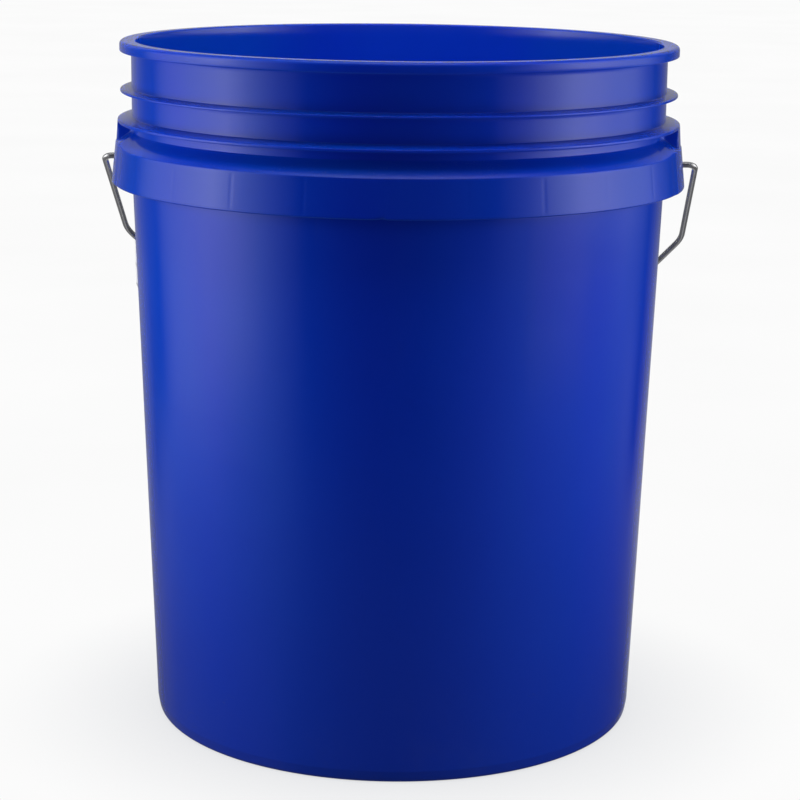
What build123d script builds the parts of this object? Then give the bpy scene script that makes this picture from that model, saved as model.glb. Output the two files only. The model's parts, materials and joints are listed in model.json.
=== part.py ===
from build123d import *
import math
import os

# Five-gallon moulded pail with a wire bail, a grip and a side label, millimetres.
# +Z is up, z = 0 is the ground under the foot ring and the Z axis is the pail's axis.
# The two bail ears sit on the X axis, -Y is the front, and the bail rests at the back (+Y).

os.makedirs("parts", exist_ok=True)

# --- pail: wall
height = 375.0            # ground to the crest of the rim
wall = 2.3
wall_r0 = 134.57          # outer wall radius, extended down to z = 0
wall_taper = 0.0354       # outer radius gained per mm of height
taper_top = 297.0         # the taper ends here, behind the skirt
neck_r = 145.05           # outer radius of the straight neck

# --- pail: bottom
heel_z = 6.5              # crease where the wall turns in to the heel
heel_foot_r = 133.69      # the heel's slope reaches the ground at this radius
heel_fillet = 2.4
foot_in_r = 125.5         # inner edge of the foot ring
foot_slope = 3.4          # radial run from that edge in to the raised panel
foot_in_fillet = 1.0
panel_fillet = 1.5
floor_under_z = 4.2       # underside of the raised bottom panel
floor_top_z = 7.0         # inside floor
floor_fillet = 6.0        # inside corner between floor and wall
gate_r = 9.0              # shallow round recess around the gate, underneath
gate_depth = 0.6
gate_bevel = 0.8

# --- pail: rim bead
rim_r = 151.24
rim_low_z = 369.5
rim_top_fillet = 2.1
rim_in_fillet = 1.0
rim_low_fillet = 0.4

# --- pail: two stacking flanges on the neck
flange1_r = 151.11
flange1_edge_low, flange1_edge_top = 348.00, 349.10
flange1_root_low, flange1_root_top = 347.90, 350.05
flange2_r = 152.57
flange2_edge_low, flange2_edge_top = 331.75, 333.15
flange2_root_low, flange2_root_top = 331.45, 334.90
flange_top_fillet = 0.45
flange_low_fillet = 0.25
flange_root_fillet = 0.5
root_fillet = 0.8         # where the roof and the rim bead meet the neck

# --- pail: skirt with its sloping roof
roof_root_z = 327.0       # the roof meets the neck here
skirt_top_r, skirt_top_z = 153.92, 319.32
skirt_low_r, skirt_low_z = 155.97, 299.28
skirt_wall = 2.2
skirt_fillet = 0.9
skirt_foot_out_fillet = 0.6
skirt_foot_in_fillet = 0.5
roof_in_shift = 0.11      # the inside corner lies this far out, the skirt being slanted

# --- pail: gussets between the neck and the skirt
gusset_wall = 1.5
gusset_step_deg = 15
gusset_low_z = 301.5
gusset_bevel_r, gusset_bevel_z = 3.0, 2.5   # slanted lower corner at the neck
gusset_roof_bite = 1.4    # the root's top stays this far below the roof's root
gusset_bite = 0.8         # overlap into the neck, the skirt and the roof
gusset_roof_bite_r = 0.6

# --- pail: bail ears
ear_low_r = 156.37        # ear face at the skirt's lower edge
ear_top_r, ear_top_z = 152.76, 332.7   # the ear face runs into the second flange
ear_bite = 1.2            # overlap into the neck
ear_wall = 2.35
ear_flank_wall = 2.1
ear_plate_z = 321.0       # the wide lower plate ends in a narrow ledge here
ear_ledge = 0.45
ear_top_rise = 4.6        # the plate's top climbs this much towards the neck
ear_upper_overlap = 1.0   # the upper part starts this far down inside the plate
ear_ceiling_z = 329.0     # top of the hollow behind the ear face
hollow_overrun = 3.0      # the hollows are cut from this far below the skirt
web_gap_r = 0.25          # the hollows stay this far off the neck
plate_edge_fillet = 0.5
upper_edge_fillet = 0.6
# flanks: (x, y) where the flank meets the neck, then where it meets the outer face
plate_flank = ((136.3, 49.35), (146.85, 46.6))
upper_flank = ((141.7, 31.2), (152.6, 29.4))
flank_in_x, flank_out_x = 125, 162     # the flanks are cut over this span

boss_r = 5.4              # thickened ring round the bail hole, inside
boss_in_x = 151.3
boss_out_gap = 0.8        # the ring ends this far under the ear's face
hole_len = 8.0            # length of the bail hole's cutter
hole_setback = 2.0        # and how far its middle lies inside the ear's face

# raised triangular corner where the ear's flank runs down to the skirt:
# radius, polar angle in degrees, z
facet_corners = ((148.6, 21.4, 325.4), (153.85, 17.5, 321.5), (153.75, 31.5, 319.45))
facet_depth = 2.0

# --- bail wire
pivot_z = 310.0           # height of the bail's pivot line
wire_r = 1.65
hole_clear = 0.10         # radial clearance of the wire in its holes
bore_r = wire_r + hole_clear
leg_x = 162.65            # the legs stand this far from the pail's axis
tail_x = 148.2            # the hooked tip inside the ear
tail_len = 8.0
tail_bend = 2.5
shoulder_bend = 4.5
leg_len = 92.5            # pivot line to the first elbow
elbow_deg = 19.5          # the legs turn in by this angle
elbow_bend = 45.0
reach = 187.0             # pivot line to the middle of the bow
bow_half = 61.0           # half the straight middle of the bow
rest_deg = 34.5           # the bow hangs this far below level at rest

# --- bail grip
grip_r = 12.0             # barrel radius at the middle
grip_end_r = 11.3         # and at the ends
grip_half = 47.0
grip_taper_len = 6.0
grip_end_fillet = 1.6
grip_hub_r = 4.2
grip_shell = 2.1
grip_pocket = 36.0
pocket_overrun = 2.0      # the pocket cut runs out past the barrel's end
grip_webs = 4
web_wall = 1.4
web_bite = 1.2            # radial overlap into hub and shell together
web_setback = 3.0         # the webs end this far inside the barrel's ends
groove_pitch = 6.0
groove_depth = 0.55
groove_r = 1.2
grip_grooves = 11

# --- side label: a sheet standing off the wall in a soft ridge behind its front edge
label_low_z, label_top_z = 239.0, 265.0
label_thick = 0.30
label_gap = 0.02
label_front_deg = 187.2   # polar angle of the front edge, from +X
label_back_deg = 157.0
label_lift = 1.6          # height of the ridge
label_rise_deg = 7.0      # the ridge rises over this angle behind the front edge
label_fall_deg = 15.2     # and settles back to the wall over this one
label_steps = 24

# --- derived
taper_top_r = wall_r0 + wall_taper * taper_top
skirt_slope = (skirt_low_r - skirt_top_r) / (skirt_top_z - skirt_low_z)
ear_slope = (ear_low_r - ear_top_r) / (ear_top_z - skirt_low_z)
roof_tan = (roof_root_z - skirt_top_z) / (skirt_top_r - neck_r)
roof_drop = skirt_wall * math.hypot(1, roof_tan)   # vertical thickness of the roof
# the roof's underside meets the inside of the skirt here
roof_in_r = skirt_top_r - skirt_wall + roof_in_shift
roof_in_z = roof_root_z - roof_drop - roof_tan * (roof_in_r - neck_r)


def polar(r, deg, z):
    """Point at radius r, polar angle deg and height z."""
    return Vector(r * math.cos(math.radians(deg)), r * math.sin(math.radians(deg)), z)


def corner_at(sketch, x, y):
    """The sketch vertex nearest to local (x, y)."""
    return min(sketch.vertices(), key=lambda v: math.hypot(v.X - x, v.Y - y))


def wall_out(z):
    """Outer radius of the tapered wall at height z."""
    return wall_r0 + wall_taper * z


def skirt_out(z):
    """Outer radius of the skirt's cone at height z."""
    return skirt_low_r - skirt_slope * (z - skirt_low_z)


def ear_out(z):
    """Outer radius of the ear face at height z."""
    return ear_low_r - ear_slope * (z - skirt_low_z)


def save(part, name):
    part.label = name
    export_step(part, f"parts/{name}.step")


# ---------------------------------------------------------------------------
# Pail body
# ---------------------------------------------------------------------------
def flank_y(x, flank, inset):
    """y of an ear's flank at x, moved towards the ear's middle by inset."""
    root, edge = flank
    dx, dy = edge[0] - root[0], edge[1] - root[1]
    return root[1] + dy / dx * (x - root[0]) - inset * math.hypot(dx, dy) / dx


def is_upright(edge):
    """True for the edges where an ear's face meets its flanks."""
    middle = edge.center()
    return math.hypot(middle.X, middle.Y) > 150 and abs((edge @ 0).Z - (edge @ 1).Z) > 8


def ear_piece(profile, flank, inset=0.0, foot_fillet=0.0, edge_fillet=0.0):
    """An (r, z) profile turned round the Z axis and trimmed by two flanks, on +X.

    foot_fillet rounds the profile's second point, edge_fillet the upright outer edges.
    """
    y_in = flank_y(flank_in_x, flank, inset)
    y_out = flank_y(flank_out_x, flank, inset)
    trim_low, trim_top = skirt_low_z - hollow_overrun - 1, ear_top_z + 1
    with BuildPart() as piece:
        with BuildSketch(Plane.XZ) as section:
            with BuildLine():
                Polyline(*profile, close=True)
            make_face()
            if foot_fillet:
                fillet(corner_at(section, *profile[1]), radius=foot_fillet)
        revolve(axis=Axis.Z)
        with BuildSketch(Plane.XY.offset(trim_low)):
            with BuildLine():
                Polyline(
                    (flank_in_x, y_in), (flank_out_x, y_out),
                    (flank_out_x, -y_out), (flank_in_x, -y_in),
                    close=True,
                )
            make_face()
        extrude(amount=trim_top - trim_low, mode=Mode.INTERSECT)
        if edge_fillet:
            fillet(piece.edges().filter_by(is_upright), radius=edge_fillet)
    return piece.part


def make_ear_plate():
    """The wide lower part of the ear."""
    root_r = neck_r - ear_bite
    profile = (
        (root_r, skirt_low_z),
        (ear_out(skirt_low_z), skirt_low_z),
        (ear_out(ear_plate_z), ear_plate_z),
        (root_r, ear_plate_z + ear_top_rise),
    )
    return ear_piece(profile, plate_flank, foot_fillet=skirt_foot_out_fillet,
                     edge_fillet=plate_edge_fillet)


def make_ear_upper():
    """The narrower part that goes on up to the second flange."""
    root_r = neck_r - ear_bite
    low_z = ear_plate_z - ear_upper_overlap
    profile = (
        (root_r, low_z),
        (ear_out(low_z) - ear_ledge, low_z),
        (ear_top_r, ear_top_z),
        (root_r, ear_top_z),
    )
    return ear_piece(profile, upper_flank, edge_fillet=upper_edge_fillet)


def make_hollow(flank, face_top_z, root_top_z):
    """Hollow behind the ear face, open at the bottom."""
    root_r = neck_r + web_gap_r
    low_z = skirt_low_z - hollow_overrun
    profile = (
        (root_r, low_z),
        (ear_out(low_z) - ear_wall, low_z),
        (ear_out(face_top_z) - ear_wall, face_top_z),
        (root_r, root_top_z),
    )
    return ear_piece(profile, flank, inset=ear_flank_wall)


def make_boss():
    """Thickened ring around the bail hole, on the inside of the ear face."""
    with BuildPart() as boss:
        with BuildSketch(Plane.YZ.offset(boss_in_x)):
            with Locations((0, pivot_z)):
                Circle(boss_r)
        extrude(amount=ear_out(pivot_z) - boss_in_x - boss_out_gap)
    return boss.part


def make_facet():
    """Triangular corner beside the ear, on its +Y flank."""
    corners = [polar(*corner) for corner in facet_corners]
    first, second, third = corners
    plane = Plane(
        origin=first,
        x_dir=(second - first).normalized(),
        z_dir=(second - first).cross(third - first).normalized(),
    )
    outline = [plane.to_local_coords(corner) for corner in corners]
    with BuildPart() as facet:
        with BuildSketch(plane):
            with BuildLine():
                Polyline(*[(p.X, p.Y) for p in outline], close=True)
            make_face()
        extrude(amount=-facet_depth)
    return facet.part


def make_gusset():
    """One gusset between the wall and the skirt, on the +X side."""
    with BuildPart() as gusset:
        with BuildSketch(Plane.XZ):
            with BuildLine():
                Polyline(
                    (neck_r - gusset_bite, gusset_low_z - gusset_bevel_z),
                    (neck_r + gusset_bevel_r, gusset_low_z),
                    (skirt_out(gusset_low_z) - skirt_wall + gusset_bite, gusset_low_z),
                    (roof_in_r + gusset_roof_bite_r, roof_in_z + gusset_bite),
                    (neck_r - gusset_bite, roof_root_z - gusset_roof_bite),
                    close=True,
                )
            make_face()
        extrude(amount=gusset_wall / 2, both=True)
    return gusset.part


# the pail's section: r, z, corner fillet (0 leaves the corner sharp)
pail_profile = (
    # underside: gate recess, raised panel, foot ring, heel
    (0, floor_under_z + gate_depth, 0),
    (gate_r, floor_under_z + gate_depth, 0),
    (gate_r + gate_bevel, floor_under_z, 0),
    (foot_in_r - foot_slope, floor_under_z, panel_fillet),
    (foot_in_r, 0, foot_in_fillet),
    (heel_foot_r, 0, heel_fillet),
    (wall_out(heel_z), heel_z, 0),
    # tapered wall up behind the skirt, then the neck up to the roof's underside
    (taper_top_r, taper_top, 0),
    (neck_r, roof_root_z - roof_drop, 0),
    # skirt and its roof
    (roof_in_r, roof_in_z, 0),
    (skirt_low_r - skirt_wall, skirt_low_z, skirt_foot_in_fillet),
    (skirt_low_r, skirt_low_z, skirt_foot_out_fillet),
    (skirt_top_r, skirt_top_z, skirt_fillet),
    (neck_r, roof_root_z, root_fillet),
    # second flange
    (neck_r, flange2_root_low, flange_root_fillet),
    (flange2_r, flange2_edge_low, flange_low_fillet),
    (flange2_r, flange2_edge_top, flange_top_fillet),
    (neck_r, flange2_root_top, flange_root_fillet),
    # first flange
    (neck_r, flange1_root_low, flange_root_fillet),
    (flange1_r, flange1_edge_low, flange_low_fillet),
    (flange1_r, flange1_edge_top, flange_top_fillet),
    (neck_r, flange1_root_top, flange_root_fillet),
    # rim bead
    (neck_r, rim_low_z, root_fillet),
    (rim_r, rim_low_z, rim_low_fillet),
    (rim_r, height, rim_top_fillet),
    (neck_r - wall, height, rim_in_fillet),
    # inside wall and floor
    (taper_top_r - wall, taper_top, 0),
    (wall_out(floor_top_z) - wall, floor_top_z, floor_fillet),
    (0, floor_top_z, 0),
)


def make_pail_body():
    hollow_root_z = roof_root_z - roof_drop - roof_tan * web_gap_r
    facet = make_facet()
    gusset = make_gusset()
    # the hollows are cut before the bosses and facets go in
    ear_stages = (
        (Mode.ADD, (make_ear_plate(), make_ear_upper())),
        (Mode.SUBTRACT, (make_hollow(plate_flank, roof_in_z, hollow_root_z),
                         make_hollow(upper_flank, ear_ceiling_z, ear_ceiling_z))),
        (Mode.ADD, (make_boss(), facet, facet.mirror(Plane.XZ))),
    )
    with BuildPart() as body:
        # wall, bottom, rim bead, flanges and skirt in one turn
        with BuildSketch(Plane.XZ) as section:
            with BuildLine():
                Polyline(*[(r, z) for r, z, _ in pail_profile], close=True)
            make_face()
            for r, z, corner_fillet in pail_profile:
                if corner_fillet:
                    fillet(corner_at(section, r, z), radius=corner_fillet)
        revolve(axis=Axis.Z)
        for mode, pieces in ear_stages:
            for turn in (0, 180):
                for piece in pieces:
                    add(piece.rotate(Axis.Z, turn), mode=mode)
        # gussets all round, except on the ears' own axis
        for turn in range(0, 360, gusset_step_deg):
            if turn % 180 != 0:
                add(gusset.rotate(Axis.Z, turn))
        # bail holes
        hole_x = ear_out(pivot_z) - hole_setback
        for side in (1, -1):
            with Locations(Location((side * hole_x, 0, pivot_z), (0, 90, 0))):
                Cylinder(bore_r, hole_len, mode=Mode.SUBTRACT)
    return body.part


# ---------------------------------------------------------------------------
# Bail wire: one bent wire, drawn in its own plane through the pivot line
# ---------------------------------------------------------------------------
rest = math.radians(rest_deg)
bail_plane = Plane(
    origin=(0, 0, pivot_z),
    x_dir=(1, 0, 0),
    z_dir=(0, math.sin(rest), math.cos(rest)),
)
elbow = math.radians(elbow_deg)
elbow_cut = elbow_bend * math.tan(elbow / 2)   # the elbow's tangent length
# the bow's arc is tangent to the slanted leg and to the straight middle
bow_r = (
    math.cos(elbow) * (leg_x - bow_half) - math.sin(elbow) * (reach - leg_len)
) / (1 - math.sin(elbow))

# bends of the +X side, from the tip to the bow: centre, radius, start and end angle
bends = (
    ((tail_x + tail_bend, -tail_bend), tail_bend, 180, 90),
    ((leg_x - shoulder_bend, shoulder_bend), shoulder_bend, -90, 0),
    ((leg_x - elbow_bend, leg_len - elbow_cut), elbow_bend, 0, elbow_deg),
    ((bow_half, reach - bow_r), bow_r, elbow_deg, 90),
)


def half_bail(side):
    """Centre line from the tip to the bow's straight middle; side is +1 or -1."""
    last = (side * tail_x, -tail_len)
    for (x, y), radius, start_deg, end_deg in bends:
        start, middle, end = [
            (side * (x + radius * math.cos(angle)), y + radius * math.sin(angle))
            for angle in map(math.radians, (start_deg, (start_deg + end_deg) / 2, end_deg))
        ]
        Line(last, start)
        ThreePointArc(start, middle, end)
        last = end


def make_bail_wire():
    tip = bail_plane.from_local_coords(Vector(tail_x, -tail_len, 0))
    with BuildPart() as wire:
        with BuildLine(bail_plane) as path:
            half_bail(1)
            half_bail(-1)
            Line((-bow_half, reach), (bow_half, reach))
        with BuildSketch(Plane(origin=tip, x_dir=(1, 0, 0), z_dir=bail_plane.y_dir)):
            Circle(wire_r)
        sweep(path=path.wires()[0])
    return wire.part


# ---------------------------------------------------------------------------
# Bail grip: a moulded barrel that spins on the straight middle of the bow
# ---------------------------------------------------------------------------
grip_centre = bail_plane.from_local_coords(Vector(0, reach, 0))
pocket_height = grip_end_r - grip_shell - grip_hub_r
pocket_mid_r = (grip_hub_r + grip_end_r - grip_shell) / 2


def make_grip_webs():
    """Radial webs between hub and shell, running along the barrel."""
    web_half = grip_half - web_setback
    start = grip_centre - Vector(web_half, 0, 0)
    with BuildPart() as webs:
        with BuildSketch(Plane(origin=start, x_dir=(0, 1, 0), z_dir=(1, 0, 0))):
            for i in range(grip_webs):
                with Locations(Location((0, 0, 0), (0, 0, i * 360 / grip_webs))):
                    with Locations((pocket_mid_r, 0)):
                        Rectangle(pocket_height + web_bite, web_wall)
        extrude(amount=2 * web_half)
    return webs.part


def make_bail_grip():
    plane = Plane(origin=grip_centre, x_dir=(1, 0, 0), z_dir=(0, 0, 1))
    axis = Axis(grip_centre, (1, 0, 0))
    taper_x = grip_half - grip_taper_len
    pocket_x = grip_half + (pocket_overrun - grip_pocket) / 2
    groove_y = grip_r + groove_r - groove_depth
    groove_xs = [(i - (grip_grooves - 1) / 2) * groove_pitch for i in range(grip_grooves)]
    webs = make_grip_webs()
    with BuildPart() as grip:
        with BuildSketch(plane) as section:
            with BuildLine():
                Polyline(
                    (-grip_half, bore_r), (-grip_half, grip_end_r), (-taper_x, grip_r),
                    (taper_x, grip_r), (grip_half, grip_end_r), (grip_half, bore_r),
                    close=True,
                )
            make_face()
            for side in (-1, 1):
                fillet(corner_at(section, side * grip_half, grip_end_r),
                       radius=grip_end_fillet)
        revolve(axis=axis)
        # pockets between hub and shell, open at both ends, stiffened by webs
        with BuildSketch(plane):
            with Locations((-pocket_x, pocket_mid_r), (pocket_x, pocket_mid_r)):
                Rectangle(grip_pocket + pocket_overrun, pocket_height)
        revolve(axis=axis, mode=Mode.SUBTRACT)
        add(webs)
        # shallow finger grooves round the barrel
        with BuildSketch(plane):
            with Locations(*[(x, groove_y) for x in groove_xs]):
                Circle(groove_r)
        revolve(axis=axis, mode=Mode.SUBTRACT)
    return grip.part


# ---------------------------------------------------------------------------
# Side label: a thin sheet on the -X side of the wall, lofted up the taper
# ---------------------------------------------------------------------------
def label_lift_at(deg):
    """How far the sheet stands off the wall at this polar angle."""
    back = label_front_deg - deg
    if back <= label_rise_deg:
        share = back / label_rise_deg
    else:
        share = max(0.0, 1 - (back - label_rise_deg) / label_fall_deg)
    return label_lift * (1 - math.cos(math.pi * share)) / 2


def label_curve(r):
    """Points from the front edge to the back edge, over a wall of radius r."""
    points = []
    for i in range(label_steps + 1):
        deg = label_front_deg + (label_back_deg - label_front_deg) * i / label_steps
        point = polar(r + label_lift_at(deg), deg, 0)
        points.append((point.X, point.Y))
    return points


def make_side_label():
    with BuildPart() as label:
        for z in (label_low_z, label_top_z):
            inner_r = wall_out(z) + label_gap
            near = label_curve(inner_r)
            far = label_curve(inner_r + label_thick)
            with BuildSketch(Plane.XY.offset(z)):
                with BuildLine():
                    Spline(*near)
                    Line(near[-1], far[-1])
                    Spline(*reversed(far))
                    Line(far[0], near[0])
                make_face()
        loft(ruled=True)
    return label.part


save(make_pail_body(), "pail_body")
save(make_bail_wire(), "bail_wire")
save(make_bail_grip(), "bail_grip")
save(make_side_label(), "side_label")
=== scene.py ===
"""A blue moulded pail with a wire bail, a loose white grip and a curled side label.

The pail stands on z = 0 about the Z axis. Its two ears, which hold the bail, are on +X and -X.
The camera looks from -Y, so -Y is the front and +X is on the right. Lengths in the modelling
sections are in millimetres and become metres in new_mesh; the studio is in metres unless a
comment says otherwise.
"""
import json
import math
import bmesh
import bpy
import numpy as np
from mathutils import Matrix, Vector


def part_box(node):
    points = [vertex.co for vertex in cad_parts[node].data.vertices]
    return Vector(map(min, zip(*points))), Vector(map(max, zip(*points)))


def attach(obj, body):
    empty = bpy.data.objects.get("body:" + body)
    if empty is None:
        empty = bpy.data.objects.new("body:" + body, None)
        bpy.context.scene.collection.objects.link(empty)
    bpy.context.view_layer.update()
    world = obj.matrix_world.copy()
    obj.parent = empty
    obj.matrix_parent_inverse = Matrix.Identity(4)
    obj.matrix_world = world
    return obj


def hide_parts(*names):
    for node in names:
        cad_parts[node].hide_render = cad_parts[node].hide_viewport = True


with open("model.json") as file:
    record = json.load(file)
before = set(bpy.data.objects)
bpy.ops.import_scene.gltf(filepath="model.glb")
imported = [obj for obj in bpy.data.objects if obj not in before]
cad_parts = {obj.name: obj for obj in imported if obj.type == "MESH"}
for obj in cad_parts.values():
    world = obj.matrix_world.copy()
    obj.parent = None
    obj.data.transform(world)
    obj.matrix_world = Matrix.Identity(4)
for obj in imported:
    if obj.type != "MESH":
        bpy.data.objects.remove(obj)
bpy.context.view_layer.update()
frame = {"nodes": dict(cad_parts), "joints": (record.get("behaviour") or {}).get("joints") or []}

MM = 0.001

# ---------------------------------------------------------------------------
# Driving dimensions. "R" is a radius from the pail's axis, "Z" a height.
# ---------------------------------------------------------------------------
joints = {j["name"]: j for j in frame["joints"]}
TOP_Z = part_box("pail_body")[1].z / MM
PIVOT_Z = joints["bail_swing"]["pos_m"][2] / MM
GRIP_CENTRE = np.array(joints["grip_spin"]["pos_m"]) / MM

# wall, floor and neck
WALL = 2.3
WALL_R0, TAPER, TAPER_TOP = 134.57, 0.0354, 297.0   # outer radius at z = 0, growth per mm, top
FLOOR_HUB_R, FLOOR_LOW, FLOOR_TOP = 9.0, 4.8, 7.0   # the floor's flat middle and its two faces
NECK_R = 145.05
FLANGE_R, RIM_R, RIM_LOW = 151.11, 151.24, 369.5

# skirt: a sloping roof out from the neck, then a flaring face down to its lip
ROOF_Z, ROOF_EDGE_R, ROOF_EDGE_Z = 327.0, 153.92, 319.32
LIP_R, LIP_Z = 155.97, 299.28
SKIRT_WALL = 2.2
SKIRT_SLOPE = (LIP_R - ROOF_EDGE_R) / (ROOF_EDGE_Z - LIP_Z)
ROOF_TAN = (ROOF_Z - ROOF_EDGE_Z) / (ROOF_EDGE_R - NECK_R)
ROOF_DROP = SKIRT_WALL * math.hypot(1, ROOF_TAN)

# ears
EAR_LOW_R, EAR_TOP_R, EAR_TOP_Z = 156.37, 152.76, 332.7
EAR_SLOPE = (EAR_LOW_R - EAR_TOP_R) / (EAR_TOP_Z - LIP_Z)
EAR_WALL = 2.35
EAR_HOLLOW_Z = 329.0
LEDGE_Z, LEDGE = 321.0, 0.45          # the ear's face steps in by LEDGE here
EAR_A, FLANK_A = 17.6, 22.3           # edge of the ear and end of its flank, degrees off its axis
FACET_END = 31.5                      # end of the raised corner beside the ear, degrees
FLANK_ROOT, FLANK_EDGE = (141.7, 31.2), (152.6, 29.4)     # plan points of the slanted flank
ROOT_ROUND, EDGE_ROUND = 1.6, 0.6
HOLE_R = 1.75

# gussets: thin radial ribs inside the skirt, none on the ears' axes
GUSSET_HALF = math.degrees(0.75 / 150.0)
GUSSETS = [g for g in range(0, 360, 15) if g % 180 != 0]


# ---------------------------------------------------------------------------
# Small helpers
# ---------------------------------------------------------------------------
def clamp01(t):
    return max(0.0, min(1.0, t))


def smooth(t):
    t = clamp01(t)
    return t * t * (3 - 2 * t)


def polar(r, deg, z):
    a = math.radians(deg)
    return np.array([r * math.cos(a), r * math.sin(a), z])


def apart(deg_a, deg_b):
    """Angle between two directions, the shorter way round."""
    return min(abs(deg_a - deg_b), 360 - abs(deg_a - deg_b))


def place_object(name, data):
    ob = bpy.data.objects.new(name, data)
    bpy.context.scene.collection.objects.link(ob)
    return ob


def shade_smooth(mesh):
    mesh.polygons.foreach_set("use_smooth", [True] * len(mesh.polygons))


def new_mesh(name, verts_mm, faces):
    mesh = bpy.data.meshes.new(name)
    mesh.from_pydata([tuple(v) for v in np.asarray(verts_mm) * MM], [], faces)
    mesh.validate(clean_customdata=False)
    mesh.update()
    ob = place_object(name, mesh)
    shade_smooth(mesh)
    return ob


def face_outward(ob, weld_m=None):
    """Turn all faces outward, first welding points closer than weld_m metres if it is given."""
    bm = bmesh.new()
    bm.from_mesh(ob.data)
    if weld_m:
        bmesh.ops.remove_doubles(bm, verts=bm.verts, dist=weld_m)
    bmesh.ops.recalc_face_normals(bm, faces=bm.faces)
    bm.to_mesh(ob.data)
    bm.free()


def sharpen(ob, deg):
    ob.data.set_sharp_from_angle(angle=math.radians(deg))


def hand_over(ob, part, body):
    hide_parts(part)
    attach(ob, body)


MIN_CUT = 0.12                        # least distance a rounding starts from its corner


def round_path(corners, radii, arcs, edges):
    """A polyline with rounded corners and a fixed number of points, whatever its shape.
    Each corner is a conic with arcs[i] steps; edges[i] steps follow it."""
    pts = [np.array(c, float) for c in corners]
    last = len(pts) - 1
    cut_in, cut_out = list(pts), list(pts)
    weight = [1.0] * len(pts)
    for i in range(1, last):
        if arcs[i] == 0:
            continue
        back, ahead = pts[i - 1] - pts[i], pts[i + 1] - pts[i]
        back_len, ahead_len = np.linalg.norm(back), np.linalg.norm(ahead)
        back, ahead = back / back_len, ahead / ahead_len
        bend = math.acos(max(-1, min(1, -float(back @ ahead))))
        cut = max(MIN_CUT, radii[i] * math.tan(bend / 2))
        cut = min(cut, 0.42 * back_len, 0.42 * ahead_len)
        cut_in[i], cut_out[i] = pts[i] + back * cut, pts[i] + ahead * cut
        weight[i] = max(0.2, math.cos(bend / 2))
    out = [pts[0]]
    for i in range(1, last + 1):
        a, b = cut_out[i - 1], cut_in[i]
        for k in range(1, edges[i - 1] + 1):
            out.append(a + (b - a) * k / edges[i - 1])
        for k in range(1, arcs[i] + 1):
            t = k / arcs[i]
            b0, b1, b2 = (1 - t) ** 2, 2 * weight[i] * t * (1 - t), t * t
            out.append((b0 * cut_in[i] + b1 * pts[i] + b2 * cut_out[i]) / (b0 + b1 + b2))
    return out


# ---------------------------------------------------------------------------
# Surfaces of the skirt and ears
# ---------------------------------------------------------------------------
def wall_r(z):
    return WALL_R0 + TAPER * z


def skirt_out(z):
    return LIP_R - SKIRT_SLOPE * (z - LIP_Z)


def ear_out(z):
    return EAR_LOW_R - EAR_SLOPE * (z - LIP_Z)


def roof_z(r):
    return ROOF_Z - ROOF_TAN * (r - NECK_R)


FLANK_DX, FLANK_DY = FLANK_EDGE[0] - FLANK_ROOT[0], FLANK_EDGE[1] - FLANK_ROOT[1]


def flank_r(off):
    """Radius of the ear's slanted flank at this angle off the ear's axis."""
    c, s = math.cos(math.radians(off)), math.sin(math.radians(off))
    return (FLANK_ROOT[0] * FLANK_DY - FLANK_ROOT[1] * FLANK_DX) / (c * FLANK_DY - s * FLANK_DX)


def root_fillet():
    """Centre of the arc that blends the flank into the neck, and the angles where it leaves
    the flank and the neck."""
    length = math.hypot(FLANK_DX, FLANK_DY)
    out_x, out_y = -FLANK_DY / length, FLANK_DX / length    # away from the ear's middle
    along_x, along_y = FLANK_DX / length, FLANK_DY / length
    px, py = FLANK_ROOT[0] + out_x * ROOT_ROUND, FLANK_ROOT[1] + out_y * ROOT_ROUND
    # the centre is on the line through p beside the flank, NECK_R + ROOT_ROUND from the axis
    b = px * along_x + py * along_y
    c = px * px + py * py - (NECK_R + ROOT_ROUND) ** 2
    reach = -b + math.sqrt(b * b - c)
    cx, cy = px + reach * along_x, py + reach * along_y
    flank_deg = math.degrees(math.atan2(cy - out_y * ROOT_ROUND, cx - out_x * ROOT_ROUND))
    return cx, cy, flank_deg, math.degrees(math.atan2(cy, cx))


FILLET = root_fillet()


def plan_r(off, face):
    """Outline of the ear above its ledge: face, rounded edge, flank, root fillet, neck."""
    cx, cy, flank_deg, neck_deg = FILLET
    if off >= neck_deg:
        return NECK_R
    c, s = math.cos(math.radians(off)), math.sin(math.radians(off))
    if off > flank_deg:
        b = cx * c + cy * s
        r = b - math.sqrt(max(b * b - (cx * cx + cy * cy - ROOT_ROUND ** 2), 0.0))
    else:
        r = flank_r(off)
    near = max(EDGE_ROUND - abs(r - face), 0.0) / EDGE_ROUND
    return max(NECK_R, min(r, face) - near * near * EDGE_ROUND * 0.25)


# three points on the plane of the raised triangular corner beside each ear
FACET_ROOT = polar(148.4, 21.4, roof_z(148.4))
FACET_SIDE = polar(153.75, EAR_A, 321.5)
FACET_TIP = polar(ROOF_EDGE_R, FACET_END, ROOF_EDGE_Z)
FACET_N = np.cross(FACET_SIDE - FACET_ROOT, FACET_TIP - FACET_ROOT)
FACET_N = FACET_N / np.linalg.norm(FACET_N)


def facet_z(deg, r):
    """Height of the corner's plane at polar angle deg and radius r."""
    a = math.radians(deg)
    return FACET_ROOT[2] - (FACET_N[0] * (r * math.cos(a) - FACET_ROOT[0])
                            + FACET_N[1] * (r * math.sin(a) - FACET_ROOT[1])) / FACET_N[2]


def crease_r(deg):
    """Radius where the corner's plane leaves the roof's cone."""
    a = math.radians(deg)
    rise = -(FACET_N[0] * math.cos(a) + FACET_N[1] * math.sin(a)) / FACET_N[2]
    start = FACET_ROOT[2] + (FACET_N[0] * FACET_ROOT[0] + FACET_N[1] * FACET_ROOT[1]) / FACET_N[2]
    return (ROOF_Z + ROOF_TAN * NECK_R - start) / (rise + ROOF_TAN)


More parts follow.
